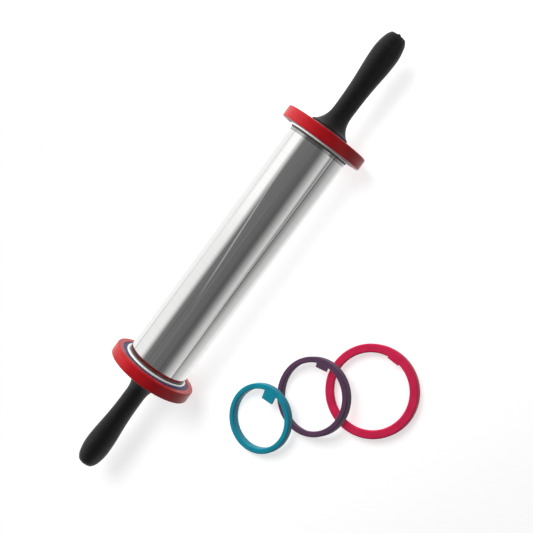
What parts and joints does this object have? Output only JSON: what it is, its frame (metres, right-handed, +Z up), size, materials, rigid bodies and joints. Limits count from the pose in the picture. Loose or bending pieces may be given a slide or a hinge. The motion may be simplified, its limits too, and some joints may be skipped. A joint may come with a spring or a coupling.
{
  "type": "adjustable rolling pin",
  "caption": "Adjustable rolling pin with a free-turning steel barrel, fixed soft handles, pull-off nested thickness rings at both ends, and loose spare rings beside it.",
  "frame": {"origin": "on the table under the middle of the set: half way along the pin, and half way between the pin's outer side and the large spare ring's outer side", "axes": "+X along the pin, towards the right handle; +Y from the spare rings towards the pin; +Z up from the table"},
  "size_m": [0.4064, 0.209, 0.07],
  "materials": {
    "polished_steel": "mirror-polished stainless steel",
    "steel": "turned and plated steel",
    "white_plastic": "satin white moulding",
    "dark_rubber": "dark elastomer gasket",
    "bush_nylon": "natural nylon",
    "core_plastic": "glass-filled nylon",
    "black_grip": "matt soft-touch elastomer",
    "black_plastic": "satin black moulding",
    "red_plastic": "satin red moulding",
    "crimson_plastic": "satin crimson moulding",
    "purple_plastic": "satin purple moulding",
    "teal_plastic": "satin teal moulding"
  },
  "bodies": {
    "handles": {"axle_rod": "steel", "left_thrust_washer": "steel", "left_retaining_clip": "steel", "left_handle_core": "core_plastic", "left_handle_grip": "black_grip", "left_handle_screw": "steel", "left_end_plug": "black_plastic", "right_thrust_washer": "steel", "right_retaining_clip": "steel", "right_handle_core": "core_plastic", "right_handle_grip": "black_grip", "right_handle_screw": "steel", "right_end_plug": "black_plastic"},
    "barrel": {"barrel_tube": "polished_steel", "left_end_cap": "white_plastic", "left_end_seal": "dark_rubber", "left_axle_bush": "bush_nylon", "right_end_cap": "white_plastic", "right_end_seal": "dark_rubber", "right_axle_bush": "bush_nylon"},
    "left_teal_ring": {"left_teal_ring": "teal_plastic"},
    "left_purple_ring": {"left_purple_ring": "purple_plastic"},
    "left_red_ring": {"left_red_ring": "red_plastic"},
    "right_teal_ring": {"right_teal_ring": "teal_plastic"},
    "right_purple_ring": {"right_purple_ring": "purple_plastic"},
    "right_red_ring": {"right_red_ring": "red_plastic"},
    "spare_red_ring": {"spare_red_ring": "crimson_plastic"},
    "spare_purple_ring": {"spare_purple_ring": "purple_plastic"},
    "spare_teal_ring": {"spare_teal_ring": "teal_plastic"}
  },
  "joints": [
    {"name": "barrel_spin", "type": "hinge", "parent": "handles", "child": "barrel", "pos_m": [0, 0.0695, 0.035], "axis": [1, 0, 0], "continuous": true},
    {"name": "left_teal_ring_pull", "type": "slide", "parent": "barrel", "child": "left_teal_ring", "axis": [-1, 0, 0], "range_m": [0, 0.105]},
    {"name": "left_purple_ring_pull", "type": "slide", "parent": "left_teal_ring", "child": "left_purple_ring", "axis": [-1, 0, 0], "range_m": [0, 0.105]},
    {"name": "left_red_ring_pull", "type": "slide", "parent": "left_purple_ring", "child": "left_red_ring", "axis": [-1, 0, 0], "range_m": [0, 0.105]},
    {"name": "right_teal_ring_pull", "type": "slide", "parent": "barrel", "child": "right_teal_ring", "axis": [1, 0, 0], "range_m": [0, 0.105]},
    {"name": "right_purple_ring_pull", "type": "slide", "parent": "right_teal_ring", "child": "right_purple_ring", "axis": [1, 0, 0], "range_m": [0, 0.105]},
    {"name": "right_red_ring_pull", "type": "slide", "parent": "right_purple_ring", "child": "right_red_ring", "axis": [1, 0, 0], "range_m": [0, 0.105]},
    {"name": "spare_red_ring_lift", "type": "slide", "parent": "handles", "child": "spare_red_ring", "axis": [0, 0, 1], "range_m": [0, 0.06]},
    {"name": "spare_purple_ring_lift", "type": "slide", "parent": "spare_red_ring", "child": "spare_purple_ring", "axis": [0, 0, 1], "range_m": [0, 0.06]},
    {"name": "spare_teal_ring_lift", "type": "slide", "parent": "spare_purple_ring", "child": "spare_teal_ring", "axis": [0, 0, 1], "range_m": [0, 0.06]}
  ]
}
